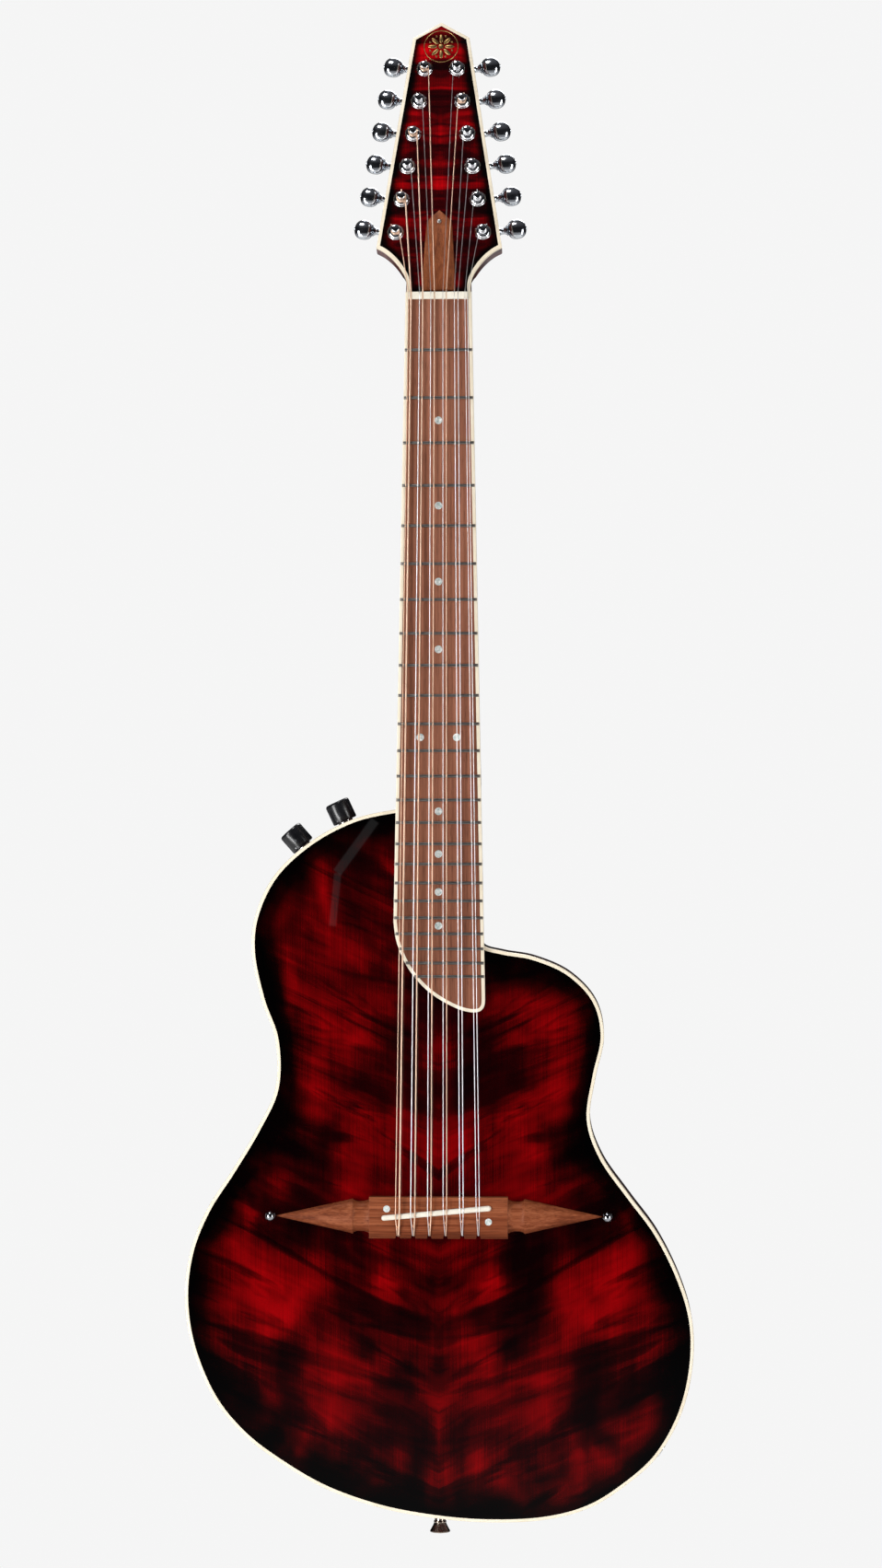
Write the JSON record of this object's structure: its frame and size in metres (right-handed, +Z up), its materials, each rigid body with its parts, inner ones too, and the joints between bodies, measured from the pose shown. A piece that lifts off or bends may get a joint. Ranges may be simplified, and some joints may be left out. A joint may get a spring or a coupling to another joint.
{
  "type": "bouzouki",
  "caption": "Bouzouki-family instrument with paired strings, a thin chambered red body, a deep cutaway, a pinless bridge and a back-angled headstock with geared tuners.",
  "frame": {"origin": "centre of the neck at the nut's playing edge, in the plane of the soundboard, where a wall hanger's yoke takes the neck", "axes": "+Z up the neck to the headstock, -Y out of the playing side, +X to the treble side"},
  "size_m": [0.3641, 0.0837, 1.0931],
  "materials": {
    "shell_wood": "gloss lacquer over mahogany",
    "top_maple": "translucent dark red gloss over figured maple",
    "cream_binding": "cream celluloid",
    "brace_spruce": "bare spruce",
    "neck_mahogany": "gloss lacquer over mahogany",
    "rod_steel": "plated steel",
    "rosewood": "oiled rosewood",
    "fret_metal": "polished nickel silver",
    "pearl": "mother of pearl",
    "bone": "polished bone",
    "veneer_maple": "translucent dark red gloss over figured maple",
    "inlay_metal": "aged gilt",
    "bronze_wire": "phosphor bronze winding",
    "steel_wire": "plain steel wire",
    "chrome_parts": "polished chrome",
    "dark_chrome": "dark chrome",
    "black_plastic": "satin black",
    "board_green": "solder resist",
    "battery_case": "plain metal case",
    "wire_cover": "insulation",
    "piezo_film": "thin foil",
    "plated_steel": "zinc plated"
  },
  "bodies": {
    "instrument": {"body_shell": "shell_wood", "soundboard_bass": "top_maple", "soundboard_treble": "top_maple", "body_binding": "cream_binding", "top_braces": "brace_spruce", "neck": "neck_mahogany", "truss_rod": "rod_steel", "fingerboard": "rosewood", "fingerboard_binding": "cream_binding", "frets": "fret_metal", "pearl_dots": "pearl", "nut": "bone", "headstock_veneer": "veneer_maple", "headstock_binding": "cream_binding", "headstock_emblem": "inlay_metal", "truss_rod_cover": "rosewood", "bridge": "rosewood", "saddle": "bone", "bridge_studs": "dark_chrome", "wound_strings": "bronze_wire", "plain_strings": "steel_wire", "string_balls": "inlay_metal", "piezo_pickup": "piezo_film", "preamp_board": "board_green", "battery": "battery_case", "battery_cover": "black_plastic", "wiring": "wire_cover", "potentiometers": "plated_steel", "output_jack": "chrome_parts", "strap_button": "chrome_parts", "strap_screw": "chrome_parts", "tuner_housings": "chrome_parts", "tuner_bushings": "chrome_parts", "small_screws": "plated_steel"},
    "button_b1": {"tuner_button_b1": "chrome_parts"},
    "post_b1": {"tuner_post_b1": "chrome_parts"},
    "button_b2": {"tuner_button_b2": "chrome_parts"},
    "post_b2": {"tuner_post_b2": "chrome_parts"},
    "button_b3": {"tuner_button_b3": "chrome_parts"},
    "post_b3": {"tuner_post_b3": "chrome_parts"},
    "button_b4": {"tuner_button_b4": "chrome_parts"},
    "post_b4": {"tuner_post_b4": "chrome_parts"},
    "button_b5": {"tuner_button_b5": "chrome_parts"},
    "post_b5": {"tuner_post_b5": "chrome_parts"},
    "button_b6": {"tuner_button_b6": "chrome_parts"},
    "post_b6": {"tuner_post_b6": "chrome_parts"},
    "button_t1": {"tuner_button_t1": "chrome_parts"},
    "post_t1": {"tuner_post_t1": "chrome_parts"},
    "button_t2": {"tuner_button_t2": "chrome_parts"},
    "post_t2": {"tuner_post_t2": "chrome_parts"},
    "button_t3": {"tuner_button_t3": "chrome_parts"},
    "post_t3": {"tuner_post_t3": "chrome_parts"},
    "button_t4": {"tuner_button_t4": "chrome_parts"},
    "post_t4": {"tuner_post_t4": "chrome_parts"},
    "button_t5": {"tuner_button_t5": "chrome_parts"},
    "post_t5": {"tuner_post_t5": "chrome_parts"},
    "button_t6": {"tuner_button_t6": "chrome_parts"},
    "post_t6": {"tuner_post_t6": "chrome_parts"},
    "volume_knob_body": {"volume_knob": "black_plastic"},
    "tone_knob_body": {"tone_knob": "black_plastic"}
  },
  "joints": [
    {"name": "turn_button_b1", "type": "hinge", "parent": "instrument", "child": "button_b1", "pos_m": [-0.03026, 0.03144, 0.05105], "axis": [-0.9889, 0.0385, 0.1436], "continuous": true},
    {"name": "turn_post_b1", "type": "hinge", "parent": "instrument", "child": "post_b1", "pos_m": [-0.0313, 0.01178, 0.04915], "axis": [0, -0.9659, 0.2588], "continuous": true},
    {"name": "turn_button_b2", "type": "hinge", "parent": "instrument", "child": "button_b2", "pos_m": [-0.02634, 0.03801, 0.07558], "axis": [-0.9889, 0.0385, 0.1436], "continuous": true},
    {"name": "turn_post_b2", "type": "hinge", "parent": "instrument", "child": "post_b2", "pos_m": [-0.02738, 0.01835, 0.07368], "axis": [0, -0.9659, 0.2588], "continuous": true},
    {"name": "turn_button_b3", "type": "hinge", "parent": "instrument", "child": "button_b3", "pos_m": [-0.02242, 0.04459, 0.10012], "axis": [-0.9889, 0.0385, 0.1436], "continuous": true},
    {"name": "turn_post_b3", "type": "hinge", "parent": "instrument", "child": "post_b3", "pos_m": [-0.02346, 0.02492, 0.09822], "axis": [0, -0.9659, 0.2588], "continuous": true},
    {"name": "turn_button_b4", "type": "hinge", "parent": "instrument", "child": "button_b4", "pos_m": [-0.0185, 0.05116, 0.12465], "axis": [-0.9889, 0.0385, 0.1436], "continuous": true},
    {"name": "turn_post_b4", "type": "hinge", "parent": "instrument", "child": "post_b4", "pos_m": [-0.01954, 0.0315, 0.12275], "axis": [0, -0.9659, 0.2588], "continuous": true},
    {"name": "turn_button_b5", "type": "hinge", "parent": "instrument", "child": "button_b5", "pos_m": [-0.01458, 0.05773, 0.14919], "axis": [-0.9889, 0.0385, 0.1436], "continuous": true},
    {"name": "turn_post_b5", "type": "hinge", "parent": "instrument", "child": "post_b5", "pos_m": [-0.01562, 0.03807, 0.14729], "axis": [0, -0.9659, 0.2588], "continuous": true},
    {"name": "turn_button_b6", "type": "hinge", "parent": "instrument", "child": "button_b6", "pos_m": [-0.01066, 0.06431, 0.17372], "axis": [-0.9889, 0.0385, 0.1436], "continuous": true},
    {"name": "turn_post_b6", "type": "hinge", "parent": "instrument", "child": "post_b6", "pos_m": [-0.0117, 0.04465, 0.17182], "axis": [0, -0.9659, 0.2588], "continuous": true},
    {"name": "turn_button_t1", "type": "hinge", "parent": "instrument", "child": "button_t1", "pos_m": [0.03026, 0.03144, 0.05105], "axis": [0.9889, 0.0385, 0.1436], "continuous": true},
    {"name": "turn_post_t1", "type": "hinge", "parent": "instrument", "child": "post_t1", "pos_m": [0.0313, 0.01178, 0.04915], "axis": [0, -0.9659, 0.2588], "continuous": true},
    {"name": "turn_button_t2", "type": "hinge", "parent": "instrument", "child": "button_t2", "pos_m": [0.02634, 0.03801, 0.07558], "axis": [0.9889, 0.0385, 0.1436], "continuous": true},
    {"name": "turn_post_t2", "type": "hinge", "parent": "instrument", "child": "post_t2", "pos_m": [0.02738, 0.01835, 0.07368], "axis": [0, -0.9659, 0.2588], "continuous": true},
    {"name": "turn_button_t3", "type": "hinge", "parent": "instrument", "child": "button_t3", "pos_m": [0.02242, 0.04459, 0.10012], "axis": [0.9889, 0.0385, 0.1436], "continuous": true},
    {"name": "turn_post_t3", "type": "hinge", "parent": "instrument", "child": "post_t3", "pos_m": [0.02346, 0.02492, 0.09822], "axis": [0, -0.9659, 0.2588], "continuous": true},
    {"name": "turn_button_t4", "type": "hinge", "parent": "instrument", "child": "button_t4", "pos_m": [0.0185, 0.05116, 0.12465], "axis": [0.9889, 0.0385, 0.1436], "continuous": true},
    {"name": "turn_post_t4", "type": "hinge", "parent": "instrument", "child": "post_t4", "pos_m": [0.01954, 0.0315, 0.12275], "axis": [0, -0.9659, 0.2588], "continuous": true},
    {"name": "turn_button_t5", "type": "hinge", "parent": "instrument", "child": "button_t5", "pos_m": [0.01458, 0.05773, 0.14919], "axis": [0.9889, 0.0385, 0.1436], "continuous": true},
    {"name": "turn_post_t5", "type": "hinge", "parent": "instrument", "child": "post_t5", "pos_m": [0.01562, 0.03807, 0.14729], "axis": [0, -0.9659, 0.2588], "continuous": true},
    {"name": "turn_button_t6", "type": "hinge", "parent": "instrument", "child": "button_t6", "pos_m": [0.01066, 0.06431, 0.17372], "axis": [0.9889, 0.0385, 0.1436], "continuous": true},
    {"name": "turn_post_t6", "type": "hinge", "parent": "instrument", "child": "post_t6", "pos_m": [0.0117, 0.04465, 0.17182], "axis": [0, -0.9659, 0.2588], "continuous": true},
    {"name": "turn_volume_knob", "type": "hinge", "parent": "instrument", "child": "volume_knob_body", "pos_m": [-0.098, 0.027, -0.391], "axis": [-0.6613, 0, 0.7501], "range_deg": [-150, 150]},
    {"name": "turn_tone_knob", "type": "hinge", "parent": "instrument", "child": "tone_knob_body", "pos_m": [-0.068, 0.027, -0.3732], "axis": [-0.4226, 0, 0.9063], "range_deg": [-150, 150]}
  ],
  "couplings": [
    {"joint": "turn_post_b1", "follows": "turn_button_b1", "ratio": -0.055556},
    {"joint": "turn_post_b2", "follows": "turn_button_b2", "ratio": -0.055556},
    {"joint": "turn_post_b3", "follows": "turn_button_b3", "ratio": -0.055556},
    {"joint": "turn_post_b4", "follows": "turn_button_b4", "ratio": -0.055556},
    {"joint": "turn_post_b5", "follows": "turn_button_b5", "ratio": -0.055556},
    {"joint": "turn_post_b6", "follows": "turn_button_b6", "ratio": -0.055556},
    {"joint": "turn_post_t1", "follows": "turn_button_t1", "ratio": 0.055556},
    {"joint": "turn_post_t2", "follows": "turn_button_t2", "ratio": 0.055556},
    {"joint": "turn_post_t3", "follows": "turn_button_t3", "ratio": 0.055556},
    {"joint": "turn_post_t4", "follows": "turn_button_t4", "ratio": 0.055556},
    {"joint": "turn_post_t5", "follows": "turn_button_t5", "ratio": 0.055556},
    {"joint": "turn_post_t6", "follows": "turn_button_t6", "ratio": 0.055556}
  ]
}
